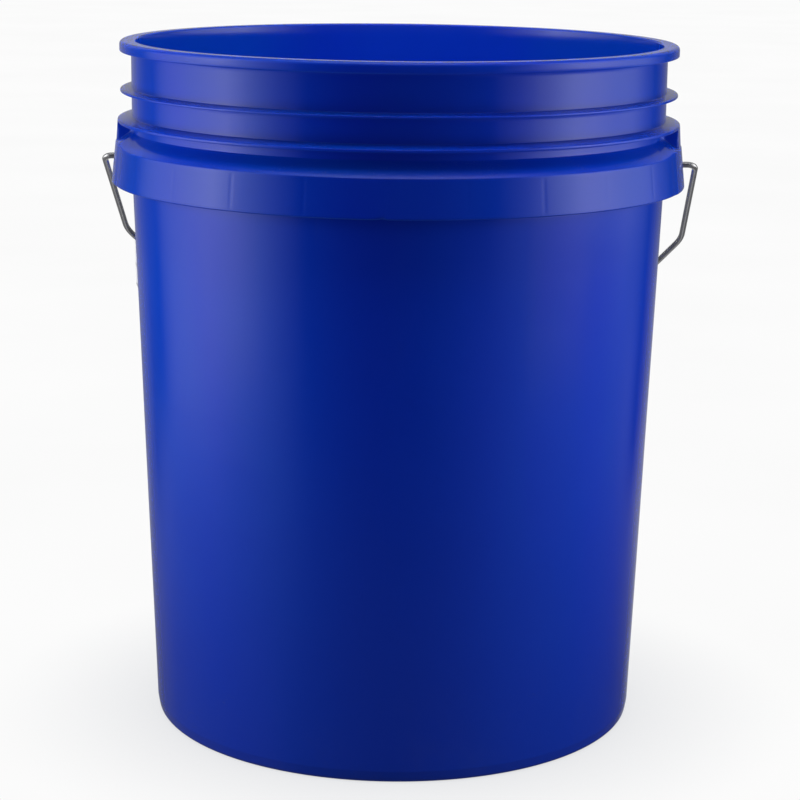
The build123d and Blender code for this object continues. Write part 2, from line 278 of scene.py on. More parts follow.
# ---------------------------------------------------------------------------
# The pail: one closed skin, its section swept round with ears, hollows,
# gussets and corner facets carried in the section
# ---------------------------------------------------------------------------
# The section from the middle of the underside, out and up, and back down the inside.
# Columns: name; (r, z), or None where it changes round the pail; corner radius; steps round
# the corner; steps along the edge to the next corner.
SECTION = [
    ("hub underside", (FLOOR_HUB_R, FLOOR_LOW), 0, 0, 1),
    ("underside step", (9.8, 4.2), 0.3, 1, 8),
    ("underside edge", (122.1, 4.2), 1.5, 3, 2),
    ("foot inner", (125.5, 0), 1.0, 3, 3),
    ("foot outer", (133.69, 0), 2.4, 5, 4),
    ("wall foot", (wall_r(6.5), 6.5), 0.9, 2, 48),
    ("wall top", (wall_r(TAPER_TOP), TAPER_TOP), 6, 2, 8),
    ("cavity root", None, 0.5, 2, 3),
    ("cavity middle", None, 0, 1, 3),
    ("cavity corner", None, 0.6, 2, 7),
    ("pivot inside", None, 0, 0, 9),
    ("lip inside", None, 0.5, 3, 2),
    ("lip outside", None, 0.6, 4, 9),
    ("pivot outside", None, 0, 0, 9),
    ("roof edge", None, 0.9, 4, 3),
    ("crease", None, 0.25, 1, 5),
    ("roof root", None, 0.8, 3, 4),
    ("flange root", None, 0.5, 3, 4),
    ("flange low", None, 0.25, 3, 2),
    ("flange top", None, 0.45, 3, 4),
    ("neck low", (NECK_R, 334.90), 0.5, 3, 6),
    ("neck high", (NECK_R, 347.90), 0.5, 3, 3),
    ("upper flange low", (FLANGE_R, 348.00), 0.25, 3, 2),
    ("upper flange top", (FLANGE_R, 349.10), 0.45, 3, 3),
    ("upper flange root", (NECK_R, 350.05), 0.5, 3, 10),
    ("rim root", (NECK_R, RIM_LOW), 0.8, 3, 3),
    ("rim low", (RIM_R, RIM_LOW), 0.4, 3, 2),
    ("rim outer", (RIM_R, TOP_Z), 2.1, 6, 4),
    ("rim inner", (NECK_R - WALL, TOP_Z), 1.0, 4, 12),
    ("inner wall top", (wall_r(TAPER_TOP) - WALL, TAPER_TOP), 6, 2, 30),
    ("inner wall foot", (wall_r(FLOOR_TOP) - WALL, FLOOR_TOP), 6.0, 6, 8),
    ("hub top", (FLOOR_HUB_R, FLOOR_TOP), 0, 0, 0),
]
EAR_SHARP = {"roof edge", "roof root", "flange root"}    # these lose their radius on the ear
ARCS = [row[3] for row in SECTION]
EDGES = [row[4] for row in SECTION]
# the row of points where each corner starts
ROW_AT = {}
row_count = 0
for corner_name, _, _, arc_steps, edge_steps in SECTION:
    ROW_AT[corner_name] = row_count
    row_count += arc_steps + edge_steps

# columns of points each side of an ear's axis, degrees off it
EAR_COLUMNS = [
    0.375, 0.75, 1.125, 1.5, 9.6, 10.1, 10.6, 10.8, 10.95, 11.02, 11.09, 11.16, 11.24, 11.4,
    11.6, 11.85, 12.1, 12.35, 12.6, 12.85, 13.15, 13.5, 15.55, 16.2, 16.8, 17.2, 17.6, 17.9,
    18.2, 18.5, 18.8, 19.3, 19.8, 20.3, 20.8, 21.3, 21.8, FLANK_A, 31.2, FACET_END, 31.8,
]
GUSSET_COLUMNS = [GUSSET_HALF, GUSSET_HALF + 0.012, 0.8, 0.5]
COLUMN_STEP, COLUMN_GAP = 1.0, 0.24   # plain columns, dropped when this near a special one


def pail_columns():
    special = [0, 180]
    for centres, offsets in (((0, 180), EAR_COLUMNS), (GUSSETS, GUSSET_COLUMNS)):
        for centre in centres:
            for a in offsets:
                special += [centre - a, centre + a]
    special = [a % 360 for a in special]
    out = list(special)
    for a in np.arange(0, 360, COLUMN_STEP):
        if min(apart(a, s) for s in special) > COLUMN_GAP:
            out.append(float(a))
    return sorted(set(round(a, 5) for a in out))


def pail_section(deg):
    """Corners and corner radii of the section at this polar angle."""
    off = abs((deg + 90) % 180 - 90)                  # degrees off the nearer ear's axis
    top_face = ear_out(EAR_HOLLOW_Z) - LEDGE * 0.35
    on_ear = clamp01((plan_r(off, top_face) - NECK_R) / (top_face - NECK_R))
    proud = smooth((18.4 - off) / 2.8)                # 1 where the lower face is the ear's
    hollow = clamp01((10.6 - off) / 1.0)              # 1 inside the ear's hollow
    in_facet = off <= FACET_END
    facet_deg = max(off, EAR_A)

    def face(z):
        return skirt_out(z) + (ear_out(z) - skirt_out(z)) * proud

    def upper(z):
        """The ear's face above the ledge."""
        return ear_out(z) - LEDGE * clamp01((EAR_TOP_Z - z) / (EAR_TOP_Z - LEDGE_Z))

    def inner(z):
        """The back of the skirt or of the ear."""
        return (skirt_out(z) - SKIRT_WALL) * (1 - hollow) + (ear_out(z) - EAR_WALL) * hollow

    # cavity behind the skirt, deeper in the ears and filled at the gussets
    in_r = ROOF_EDGE_R - SKIRT_WALL + 0.11
    in_z = ROOF_Z - ROOF_DROP - ROOF_TAN * (in_r - NECK_R)
    skirt_root, skirt_corner = np.array([NECK_R, ROOF_Z - ROOF_DROP]), np.array([in_r, in_z])
    ear_root = np.array([NECK_R + 0.1, EAR_HOLLOW_Z])
    ear_corner = np.array([ear_out(EAR_HOLLOW_Z) - EAR_WALL, EAR_HOLLOW_Z])
    cavity_root = skirt_root + (ear_root - skirt_root) * hollow
    cavity_corner = skirt_corner + (ear_corner - skirt_corner) * hollow
    cavity_middle = (cavity_root + cavity_corner) / 2
    pivot_inside = (inner(PIVOT_Z), PIVOT_Z)
    if any(apart(deg, g) <= GUSSET_HALF + 0.002 for g in GUSSETS):
        gusset_z = 301.5
        cavity_root = (NECK_R + 0.05, 299.0)
        cavity_middle = (148.1, gusset_z)
        cavity_corner = (inner(gusset_z) - 0.9, gusset_z)
        pivot_inside = (inner(gusset_z) - 0.1, 301.45)

    # roof of the skirt and the neck under the flange, or the ear's face
    if on_ear < 1:
        edge_z, bend_r = ROOF_EDGE_Z, 153.5
        if in_facet:
            edge_z = max(min(facet_z(facet_deg, 153.8), 321.6), ROOF_EDGE_Z)
            bend_r = crease_r(facet_deg)
        roof_edge = (face(edge_z), edge_z)
        root_r = min(plan_r(off, upper(ROOF_Z)), roof_edge[0] - 0.35)
        roof_run = roof_edge[0] - root_r
        bend_r = min(max(bend_r, root_r + 0.25 * roof_run), roof_edge[0] - 0.12 * roof_run)
        bend_z = max(roof_z(bend_r), facet_z(facet_deg, bend_r) if in_facet else -1)
        root_z = roof_z(root_r)
        if in_facet and root_r > crease_r(facet_deg):
            root_z = max(root_z, min(facet_z(facet_deg, root_r), bend_z + roof_run))
        crease = (bend_r, bend_z)
        roof_root = (root_r, root_z)
        flange_root = (plan_r(off, upper(331.45)), 331.45 + 0.2 * on_ear)
    else:
        edge_z = LEDGE_Z - 0.25
        roof_edge = (ear_out(edge_z), edge_z)
        crease = (upper(LEDGE_Z) + 0.2, LEDGE_Z)
        roof_root = (upper(LEDGE_Z + 0.25), LEDGE_Z + 0.25)
        flange_root = (upper(331.0), 331.0)

    changing = {
        "cavity root": cavity_root, "cavity middle": cavity_middle,
        "cavity corner": cavity_corner, "pivot inside": pivot_inside,
        "lip inside": (inner(LIP_Z), LIP_Z), "lip outside": (face(LIP_Z), LIP_Z),
        "pivot outside": (face(PIVOT_Z), PIVOT_Z),
        "roof edge": roof_edge, "crease": crease, "roof root": roof_root,
        "flange root": flange_root,
        "flange low": (152.57 + 0.27 * on_ear, 331.75),
        "flange top": (152.57 + 0.10 * on_ear, 333.15),
    }
    corners = [changing.get(name, point) for name, point, *_ in SECTION]
    radii = [r * (1 - on_ear) if name in EAR_SHARP else r for name, _, r, *_ in SECTION]
    return corners, radii


def sink(deg, z):
    """How far the skirt draws in over the gussets."""
    depth = 0.0
    for g in GUSSETS:
        arc = apart(deg, g) * math.radians(1) * 155
        if arc < 6:
            depth += 0.075 * math.exp(-(arc / 1.15) ** 2) - 0.02 * math.exp(-(arc / 3.2) ** 2)
    return depth * smooth((z - 300.2) / 2.0) * smooth((318.9 - z) / 2.5)


def pail_grid(cols):
    """Points of the swept skin as an array of column, row, (x, y, z)."""
    pts = []
    for deg in cols:
        col = []
        for row, (r, z) in enumerate(round_path(*pail_section(deg), ARCS, EDGES)):
            if ROW_AT["lip outside"] <= row <= ROW_AT["crease"]:
                r -= sink(deg, z)
            col.append((r, z))
        pts.append(col)
    pts = np.array(pts)
    ang = np.radians(np.array(cols))[:, None]
    r, z = pts[:, :, 0].copy(), pts[:, :, 1].copy()
    # the moulding is never quite round: slow waves with 2, 3 and 5 lobes
    up = np.clip(z / TOP_Z, 0, 1)
    off_centre = np.clip((r - 60) / 60, 0, 1)
    on_wall = np.clip((297 - z) / 120, 0, 1) * np.clip(z / 60, 0, 1)
    r += off_centre * (0.10 * up * np.cos(2 * ang + 0.7) + 0.05 * np.cos(3 * ang + 2.1) * up
                       + 0.045 * np.sin(5 * ang + 0.03 * z) * on_wall)
    # a small nick in the skirt's lower edge, at the front
    nick_deg = np.degrees(ang) - 269.6
    nick = np.exp(-(nick_deg / 0.55) ** 2) * np.exp(-((z - LIP_Z) / 1.3) ** 2) * (r > 153.0)
    r -= 0.45 * nick
    z += 0.5 * nick * (z < LIP_Z + 1.0)
    return np.stack([r * np.cos(ang), r * np.sin(ang), z], -1)


PATCH_HALF = 3                        # half width of the grid patch opened round a bail hole
BLEND_R = 2.35
# Columns: row of the hole's centre; depth behind the ear's face; how far the first ring stays
# out towards the patch; radii of the other rings; how far the last ring is set towards the axis
HOLE_SIDES = [
    ("pivot outside", 0.0, 0.55, (BLEND_R, 2.0, HOLE_R), 0.28),
    ("pivot inside", EAR_WALL, 0.5, (2.3, HOLE_R), -0.25),
]


def hole_rings(verts, faces, loop, side, depth, blend, radii, inset):
    """Close a patch's loop down to a hole; return the last ring and its points' angles."""
    edge = np.array([verts[i] for i in loop])
    edge_y, edge_z = edge[:, 1], edge[:, 2] - PIVOT_Z
    ang = np.arctan2(edge_z, edge_y)
    first = BLEND_R + (np.hypot(edge_y, edge_z) - BLEND_R) * blend
    rings = [first] + [[r] * len(loop) for r in radii]
    prev = loop
    for k, ring in enumerate(rings):
        ids = []
        for a, r in zip(ang, ring):
            y, z = r * math.cos(a), PIVOT_Z + r * math.sin(a)
            x = side * math.sqrt((ear_out(z) - depth) ** 2 - y * y)
            if k == len(rings) - 1:
                x -= side * inset
            ids.append(len(verts))
            verts.append((x, y, z))
        for i in range(len(loop)):
            j = (i + 1) % len(loop)
            faces.append((prev[i], prev[j], ids[j], ids[i]))
        prev = ids
    return prev, ang


def bridge(faces, out_ids, out_ang, in_ids, in_ang):
    """Join a hole's two rims, paired in order of angle from the best matching start."""
    outer, inner = list(np.argsort(out_ang)), list(np.argsort(in_ang))
    n = len(outer)

    def mismatch(shift):
        return sum(abs(math.remainder(in_ang[inner[(k + shift) % n]] - out_ang[outer[k]],
                                      2 * math.pi)) for k in range(n))

    best = min(range(n), key=mismatch)
    for k in range(n):
        i, j = outer[k], outer[(k + 1) % n]
        p, q = inner[(k + best) % n], inner[(k + 1 + best) % n]
        faces.append((out_ids[i], out_ids[j], in_ids[q], in_ids[p]))


def build_pail():
    cols = pail_columns()
    grid = pail_grid(cols)
    n_cols, n_rows = grid.shape[:2]
    verts = list(map(tuple, grid.reshape(-1, 3)))

    def vid(c, r):
        return (c % n_cols) * n_rows + r

    # open a patch of the grid round each bail hole, and list the patch's boundary
    skip = set()
    holes = []
    span = range(-PATCH_HALF, PATCH_HALF)
    back_span = range(PATCH_HALF, -PATCH_HALF, -1)
    for base, side in ((0, 1), (180, -1)):
        c0 = min(range(n_cols), key=lambda i: apart(cols[i], base))
        for row_name, *shape in HOLE_SIDES:
            r0 = ROW_AT[row_name]
            skip |= {((c0 + dc) % n_cols, r0 + dr) for dc in span for dr in span}
            loop = [vid(c0 + dc, r0 - PATCH_HALF) for dc in span]
            loop += [vid(c0 + PATCH_HALF, r0 + dr) for dr in span]
            loop += [vid(c0 + dc, r0 + PATCH_HALF) for dc in back_span]
            loop += [vid(c0 - PATCH_HALF, r0 + dr) for dr in back_span]
            holes.append((loop, side, *shape))
    faces = []
    for c in range(n_cols):
        for r in range(n_rows - 1):
            if (c, r) not in skip:
                faces.append((vid(c, r), vid(c + 1, r), vid(c + 1, r + 1), vid(c, r + 1)))
    # the floor's hub closes to a point below and above
    low_pole, high_pole = len(verts), len(verts) + 1
    verts += [(0, 0, FLOOR_LOW), (0, 0, FLOOR_TOP)]
    for c in range(n_cols):
        faces.append((low_pole, vid(c + 1, 0), vid(c, 0)))
        faces.append((high_pole, vid(c, n_rows - 1), vid(c + 1, n_rows - 1)))
    rims = [hole_rings(verts, faces, *hole) for hole in holes]
    for outer, inner in (rims[:2], rims[2:]):
        bridge(faces, *outer, *inner)
    ob = new_mesh("pail", verts, faces)
    face_outward(ob, weld_m=1e-7)
    shade_smooth(ob.data)
    sharpen(ob, 32)
    return ob


pail = build_pail()
hand_over(pail, "pail_body", "pail")

# ---------------------------------------------------------------------------
# The bail wire: one swept round bar, its tips hooked inside the ears. It is
# drawn flat, x across the pail and y out from the pivots, then tilted by REST.
# ---------------------------------------------------------------------------
WIRE_R, WIRE_SIDES = 1.65, 28
TIP_DOME = 0.5
TIP_STEPS = (0.0, 0.35, 0.7, 0.92)    # rings of the domed tips, 1 being the full bar
LEG_X, LEG_LEN, SHOULDER = 162.65, 92.5, 4.5
TAIL_X, TAIL_LEN, TAIL_BEND = 148.2, 8.0, 2.5
ELBOW, ELBOW_BEND = math.radians(19.5), 45.0          # where the leg leans in to the slant
REACH, BOW_HALF = 187.0, 61.0                         # straight run that carries the grip
REST = math.atan2(PIVOT_Z - GRIP_CENTRE[2], GRIP_CENTRE[1])
# slant length and bow radius that join the elbow to the straight run, both tangent
sin_e, cos_e = math.sin(ELBOW), math.cos(ELBOW)
rise, run = REACH - LEG_LEN, LEG_X - BOW_HALF
det = sin_e * (1 - sin_e) - cos_e ** 2
SLANT = (run * (1 - sin_e) - rise * cos_e) / det
BOW_R = (sin_e * rise - cos_e * run) / det


def arc_pts(cx, cy, r, start, end, n):
    return [(cx + r * math.cos(a), cy + r * math.sin(a)) for a in np.linspace(start, end, n)]


def line_pts(p, q, step):
    """Points between p and q, leaving out both ends."""
    n = max(1, int(math.dist(p, q) / step))
    return [(p[0] + (q[0] - p[0]) * k / n, p[1] + (q[1] - p[1]) * k / n) for k in range(1, n)]


def half_bail():
    """The +X half, from the tail's tip to the middle of the straight run."""
    leg_end = LEG_LEN - ELBOW_BEND * math.tan(ELBOW / 2)
    slant_end = (LEG_X - SLANT * sin_e, LEG_LEN + SLANT * cos_e)
    bow_x, bow_y = slant_end[0] - BOW_R * cos_e, slant_end[1] - BOW_R * sin_e
    pts = [(TAIL_X, -TAIL_LEN + TIP_DOME)]
    pts += line_pts(pts[-1], (TAIL_X, -TAIL_BEND), 1.0)
    pts += arc_pts(TAIL_X + TAIL_BEND, -TAIL_BEND, TAIL_BEND, math.pi, math.pi / 2, 9)
    pts += line_pts(pts[-1], (LEG_X - SHOULDER, 0), 1.5)
    pts += arc_pts(LEG_X - SHOULDER, SHOULDER, SHOULDER, -math.pi / 2, 0, 11)
    pts += line_pts(pts[-1], (LEG_X, leg_end), 3.0)
    pts += arc_pts(LEG_X - ELBOW_BEND, leg_end, ELBOW_BEND, 0, ELBOW, 15)
    pts += line_pts(pts[-1], slant_end, 3.0)
    pts += arc_pts(bow_x, bow_y, BOW_R, ELBOW, math.pi / 2, 44)
    pts += line_pts(pts[-1], (0, REACH), 3.0)
    return pts + [(0, REACH)] if False else pts


def build_wire():
    half = half_bail()
    flat = half + [(-x, y) for x, y in reversed(half[:-1])]
    path = np.array([(x, y * math.cos(REST), PIVOT_Z - y * math.sin(REST)) for x, y in flat])
    tangent = np.gradient(path, axis=0)
    tangent /= np.linalg.norm(tangent, axis=1)[:, None]
    plane_normal = np.array([0.0, math.sin(REST), math.cos(REST)])
    normal = np.zeros_like(tangent)
    for i, t in enumerate(tangent):
        v = plane_normal - t * (plane_normal @ t)
        normal[i] = v / np.linalg.norm(v)
    binormal = np.cross(tangent, normal)

    def tip_ring(end, way, t):
        centre = path[end] + way * tangent[end] * (TIP_DOME * (1 - t * t) ** 0.5)
        return centre, normal[end], binormal[end], WIRE_R * (0.55 + 0.45 * t)

    rings = [tip_ring(0, -1, t) for t in TIP_STEPS]
    rings += [(path[i], normal[i], binormal[i], WIRE_R) for i in range(len(path))]
    rings += [tip_ring(-1, 1, t) for t in reversed(TIP_STEPS)]
    verts, faces = [], []
    for centre, u, v, r in rings:
        for k in range(WIRE_SIDES):
            a = 2 * math.pi * k / WIRE_SIDES
            verts.append(centre + r * (math.cos(a) * u + math.sin(a) * v))
    for start in range(0, (len(rings) - 1) * WIRE_SIDES, WIRE_SIDES):
        for k in range(WIRE_SIDES):
            a, b = start + k, start + (k + 1) % WIRE_SIDES
            faces.append((a, b, b + WIRE_SIDES, a + WIRE_SIDES))
    faces.append(tuple(range(WIRE_SIDES))[::-1])
    faces.append(tuple((len(rings) - 1) * WIRE_SIDES + k for k in range(WIRE_SIDES)))
    ob = new_mesh("bail", verts, faces)
    face_outward(ob)
    sharpen(ob, 50)
    return ob


wire = build_wire()
hand_over(wire, "bail_wire", "bail")

# ---------------------------------------------------------------------------
# The side label: a thin curled sheet on the -X side
# ---------------------------------------------------------------------------
LABEL_LOW, LABEL_TOP = 239.0, 265.0
LABEL_FRONT, LABEL_BACK = 187.2, 157.0                # polar angles of its two ends
LABEL_THICK, LABEL_GAP = 0.18, 0.05
LABEL_LIFT, LIFT_RISE, LIFT_FALL = 2.05, 7.0, 15.2    # height of the bulge, degrees up and down
LABEL_R, LABEL_CORNER = 143.8, 2.2
LABEL_COLS, LABEL_ROWS = 72, 24


def label_point(u, v, side):
    """u runs back from the front edge, v up; side 0 is the glued face, 1 the printed face."""
    z = LABEL_LOW + (LABEL_TOP - LABEL_LOW) * v
    deg = LABEL_FRONT + (LABEL_BACK - LABEL_FRONT) * u
    back = LABEL_FRONT - deg
    t = back / LIFT_RISE if back <= LIFT_RISE else max(0.0, 1 - (back - LIFT_RISE) / LIFT_FALL)
    lift = LABEL_LIFT * (1 - math.cos(math.pi * t)) / 2 * (0.91 + 0.09 * math.sin(5.1 * v + 0.6))
    wave = math.sin(37 * u + 5 * v) * math.sin(9 * v + 11 * u)
    wrinkle = 0.06 * smooth(u * 6) * (1 + wave) * 0.5
    r = wall_r(z) + LABEL_GAP + lift + wrinkle + (LABEL_THICK if side else 0)
    return polar(r, deg, z)


def label_uv(i, j):
    """Place of a grid point on the sheet, drawn in at the rounded corners."""
    w = (LABEL_FRONT - LABEL_BACK) * math.radians(1) * LABEL_R
    h = LABEL_TOP - LABEL_LOW
    x, y = i / LABEL_COLS * w, j / LABEL_ROWS * h
    for cx, low_x in ((LABEL_CORNER, True), (w - LABEL_CORNER, False)):
        for cy, low_y in ((LABEL_CORNER, True), (h - LABEL_CORNER, False)):
            dx, dy = x - cx, y - cy
            if (dx < 0) == low_x and (dy < 0) == low_y and dx and dy:
                pull = max(abs(dx), abs(dy)) / math.hypot(dx, dy)
                x, y = cx + dx * pull, cy + dy * pull
    return x / w, y / h


def build_label():
    verts = [label_point(*label_uv(i, j), side) for side in (0, 1)
             for i in range(LABEL_COLS + 1) for j in range(LABEL_ROWS + 1)]
    faces = []

    def vid(side, i, j):
        return (side * (LABEL_COLS + 1) + i) * (LABEL_ROWS + 1) + j

    for i in range(LABEL_COLS):
        for j in range(LABEL_ROWS):
            ring = [(i, j), (i + 1, j), (i + 1, j + 1), (i, j + 1)]
            faces.append(tuple(vid(0, *p) for p in ring))
            faces.append(tuple(vid(1, *p) for p in (ring[0], ring[3], ring[2], ring[1])))
    edge = [(i, 0) for i in range(LABEL_COLS)]
    edge += [(LABEL_COLS, j) for j in range(LABEL_ROWS)]
    edge += [(i, LABEL_ROWS) for i in range(LABEL_COLS, 0, -1)]
    edge += [(0, j) for j in range(LABEL_ROWS, 0, -1)]
    for a, b in zip(edge, edge[1:] + edge[:1]):
        faces.append((vid(0, *a), vid(1, *a), vid(1, *b), vid(0, *b)))
    ob = new_mesh("label", verts, faces)
    face_outward(ob)
    sharpen(ob, 40)
    return ob


label = build_label()
hand_over(label, "side_label", "pail")


# ---------------------------------------------------------------------------
# Node helpers
# ---------------------------------------------------------------------------
class Nodes:
    """Adds nodes to a tree. An input may be a number, a socket, or a node (its first output)."""

    def __init__(self, tree):
        self.tree = tree
        self.x = 0

    def add(self, kind, inputs=None, **props):
        node = self.tree.nodes.new(kind)
        self.x += 40
        node.location = (self.x, 0)
        for key, value in props.items():
            setattr(node, key, value)
        for key, value in (inputs or {}).items():
            socket = node.inputs[key]
            if hasattr(value, "outputs"):
                value = value.outputs[0]
            if isinstance(value, bpy.types.NodeSocket):
                self.tree.links.new(value, socket)
            else:
                socket.default_value = value
        return node

    def math(self, op, a, b=0.0, clamp=False):
        return self.add("ShaderNodeMath", {0: a, 1: b}, operation=op, use_clamp=clamp)

    def times(self, a, b):
        return self.math("MULTIPLY", a, b)

    def plus(self, total, layer, amount, op="ADD", clamp=False):
        """total + layer * amount (or minus, with op="SUBTRACT")."""
        return self.math(op, total, self.times(layer, amount), clamp=clamp)

    def mix(self, amount, below, above):
        node = self.add("ShaderNodeMix", {0: amount, 6: below, 7: above}, data_type="RGBA")
        return node.outputs[2]

    def mix_value(self, amount, below, above):
        node = self.add("ShaderNodeMix", {0: amount, 2: below, 3: above}, data_type="FLOAT")
        return node.outputs[0]

    def darken(self, amount, base, factors):
        """Multiply the colour by factors, as far as amount says."""
        deep = self.add("ShaderNodeVectorMath", {0: base, 1: factors}, operation="MULTIPLY")
        return self.mix(amount, base, deep)

    def remap(self, value, span, to=(0, 1), kind="LINEAR"):
        """Carry the range span over to the range to."""
        return self.add("ShaderNodeMapRange", {0: value, 1: span[0], 2: span[1],
                                               3: to[0], 4: to[1]}, interpolation_type=kind)

    def grey_ramp(self, fac, stops):
        node = self.add("ShaderNodeValToRGB", {0: fac})
        elements = node.color_ramp.elements
        while len(elements) > 1:
            elements.remove(elements[-1])
        for k, (position, grey) in enumerate(stops):
            element = elements.new(position) if k else elements[0]
            element.position = position
            element.color = (grey, grey, grey, 1)
        return node.outputs[0]

    def object_coords(self):
        return self.add("ShaderNodeTexCoord").outputs["Object"]

    def xyz(self, vector):
        return self.add("ShaderNodeSeparateXYZ", {0: vector}).outputs

    def noise(self, vector, scale, detail, rough, distortion=0.0):
        return self.add("ShaderNodeTexNoise", {
            "Vector": vector, "Scale": scale, "Detail": detail, "Roughness": rough,
            "Distortion": distortion}).outputs[0]

    def finish(self, shader, kind="ShaderNodeOutputMaterial"):
        self.add(kind, {0: shader})

    def surface(self, base, rough, height, **extra):
        """Principled surface with a bump of height in metres; _ in a name means a space."""
        bump = self.add("ShaderNodeBump", {"Strength": 1.0, "Distance": 1.0, "Height": height})
        inputs = {"Base Color": base, "Roughness": rough, "Normal": bump}
        inputs.update({key.replace("_", " "): value for key, value in extra.items()})
        self.finish(self.add("ShaderNodeBsdfPrincipled", inputs))


def material(name):
    mat = bpy.data.materials.new(name)
    mat.use_nodes = True
    mat.node_tree.nodes.clear()
    return mat, Nodes(mat.node_tree)


def assign(ob, mat):
    ob.data.materials.clear()
    ob.data.materials.append(mat)


# ---------------------------------------------------------------------------
# Materials. Heights and distances are in metres.
# ---------------------------------------------------------------------------
def pail_material():
    """Blue moulded polyethylene."""
    # the second colour of each pair below is a painted sheen: greener where the surface is seen at a
    # slant
    low_facing, low_painted_sheen = (0.0012, 0.0265, 0.44, 1), (0.0012, 0.0330, 0.44, 1)
    high_facing, high_painted_sheen = (0.0012, 0.0190, 0.44, 1), (0.0012, 0.0440, 0.44, 1)
    flow_blue, cloud_blue = (0.0014, 0.0300, 0.465, 1), (0.0012, 0.0240, 0.400, 1)
    film_grey, dust_grey = (0.10, 0.12, 0.26, 1), (0.30, 0.30, 0.33, 1)
    scuff_grey = (0.06, 0.075, 0.16, 1)
    glance = (0.01, 0.17)             # how slanted the view is where green comes in
    flow_span = (0.35, 0.65)

    mat, net = material("blue_hdpe")
    co = net.object_coords()
    pos = net.xyz(co)
    geometry = net.add("ShaderNodeNewGeometry")
    normal_z = net.xyz(geometry.outputs["Normal"])[2]
    z = pos[2]

    def stretch(*scale):
        return net.add("ShaderNodeMapping", {"Vector": co, "Scale": scale}).outputs[0]

    # pigment a little uneven, as it flowed up the mould; a painted sheen makes it greener where it is
    # seen at a slant
    flow = net.noise(stretch(1, 1, 0.25), scale=9.0, detail=3.0, rough=0.5)
    cloud = net.noise(co, scale=26.0, detail=5.0, rough=0.6)
    slant = net.add("ShaderNodeLayerWeight", {"Blend": 0.5}).outputs["Facing"]
    low = net.mix(net.remap(slant, glance), low_facing, low_painted_sheen)
    high = net.mix(net.remap(slant, glance), high_facing, high_painted_sheen)
    tint = net.mix(net.remap(z, (0.05, 0.20)), low, high)
    base = net.mix(net.remap(flow, flow_span), tint, flow_blue)
    base = net.mix(net.remap(flow, flow_span, to=(1, 0)), base, tint)
    base = net.mix(net.remap(cloud, (0.3, 0.75), to=(0.0, 0.25)), base, cloud_blue)
    # the outside of the skirt, moulded away from the wall, is a shade deeper
    x_squared, y_squared = net.math("POWER", pos[0], 2.0), net.math("POWER", pos[1], 2.0)
    out_r = net.math("SQRT", net.math("ADD", x_squared, y_squared))
    deep = net.times(net.times(net.remap(out_r, (0.1530, 0.1537)),
                               net.remap(z, (0.2985, 0.2995))),
                     net.remap(z, (0.318, 0.321), to=(1, 0)))
    base = net.darken(deep, base, factors=(0.86, 0.96, 0.86))
    # painted shade: the ears' narrow flanks under the flange are darkened where the flange shades
    # them
    off_x = net.math("ABSOLUTE", pos[1])
    flank_painted_shade = net.times(net.times(net.remap(off_x, (0.0280, 0.0286)),
                               net.remap(off_x, (0.0322, 0.0330), to=(1, 0))),
                     net.times(net.remap(out_r, (0.1454, 0.1466)),
                               net.remap(z, (0.3214, 0.3224))))
    flank_painted_shade = net.times(flank_painted_shade, net.remap(z, (0.3316, 0.3320), to=(1, 0)))
    base = net.darken(flank_painted_shade, base, factors=(0.6, 0.62, 0.62))
    # handling film: a faint greyish bloom, more near the foot
    film_noise = net.noise(co, scale=42.0, detail=6.0, rough=0.65)
    film = net.times(net.remap(film_noise, (0.50, 0.80)),
                     net.remap(z, (0.0, 0.06), to=(0.05, 0.006)))
    base = net.mix(film, base, film_grey)
    # dust caught on the upper ledges, fine specks within broad patches
    specks = net.noise(co, scale=900.0, detail=3.0, rough=0.7)
    patches = net.noise(co, scale=60.0, detail=3.0, rough=0.6)
    ledge = net.times(net.remap(normal_z, (0.45, 0.9)), net.remap(z, (0.31, 0.32)))
    dust = net.times(ledge, net.times(net.remap(specks, (0.54, 0.72)),
                                      net.remap(patches, (0.42, 0.72), to=(0.0, 0.16))))
    base = net.mix(dust, base, dust_grey)
    # scuffs: short rubs low on the wall
    scuff_noise = net.noise(stretch(1, 1, 2.6), scale=16.0, detail=8.0, rough=0.75,
                            distortion=1.2)
    scuff = net.times(net.remap(scuff_noise, (0.64, 0.70)),
                      net.remap(z, (0.012, 0.075), to=(0.5, 0.0)))
    base = net.mix(net.times(scuff, 0.5), base, scuff_grey)

    def scratches(rotation, threshold):
        """Long thin noise, turned to a slant."""
        turned = net.add("ShaderNodeMapping", {"Vector": co, "Rotation": rotation,
                                               "Scale": (1.0, 1.0, 0.018)}).outputs[0]
        lines = net.noise(turned, scale=520.0, detail=2.0, rough=0.5)
        return net.remap(lines, (threshold, threshold + 0.03))

    scratch = net.math("MAXIMUM", scratches(rotation=(0.35, 0.12, 0.0), threshold=0.665),
                       scratches(rotation=(-0.5, 0.3, 0.4), threshold=0.672))
    where = net.remap(net.noise(co, scale=7.0, detail=3.0, rough=0.6), (0.42, 0.66), to=(0.0, 1.0))
    scratch = net.times(scratch, where)
    # roughness: two sizes of mottling about a mean, then the wear
    mottle, mean_rough = (-0.015, 0.02), 0.130
    fine = net.remap(net.noise(co, scale=70.0, detail=5.0, rough=0.6), (0.3, 0.7), to=mottle)
    broad = net.remap(net.noise(stretch(1, 1, 0.5), scale=5.0, detail=3.0, rough=0.6),
                      (0.35, 0.65), to=mottle)
    rough = net.math("ADD", net.math("ADD", fine, broad), mean_rough)
    rough = net.plus(rough, scratch, amount=0.12)
    rough = net.plus(rough, scuff, amount=0.12)
    rough = net.plus(rough, film, amount=0.6)
    rough = net.plus(rough, dust, amount=0.3, clamp=True)
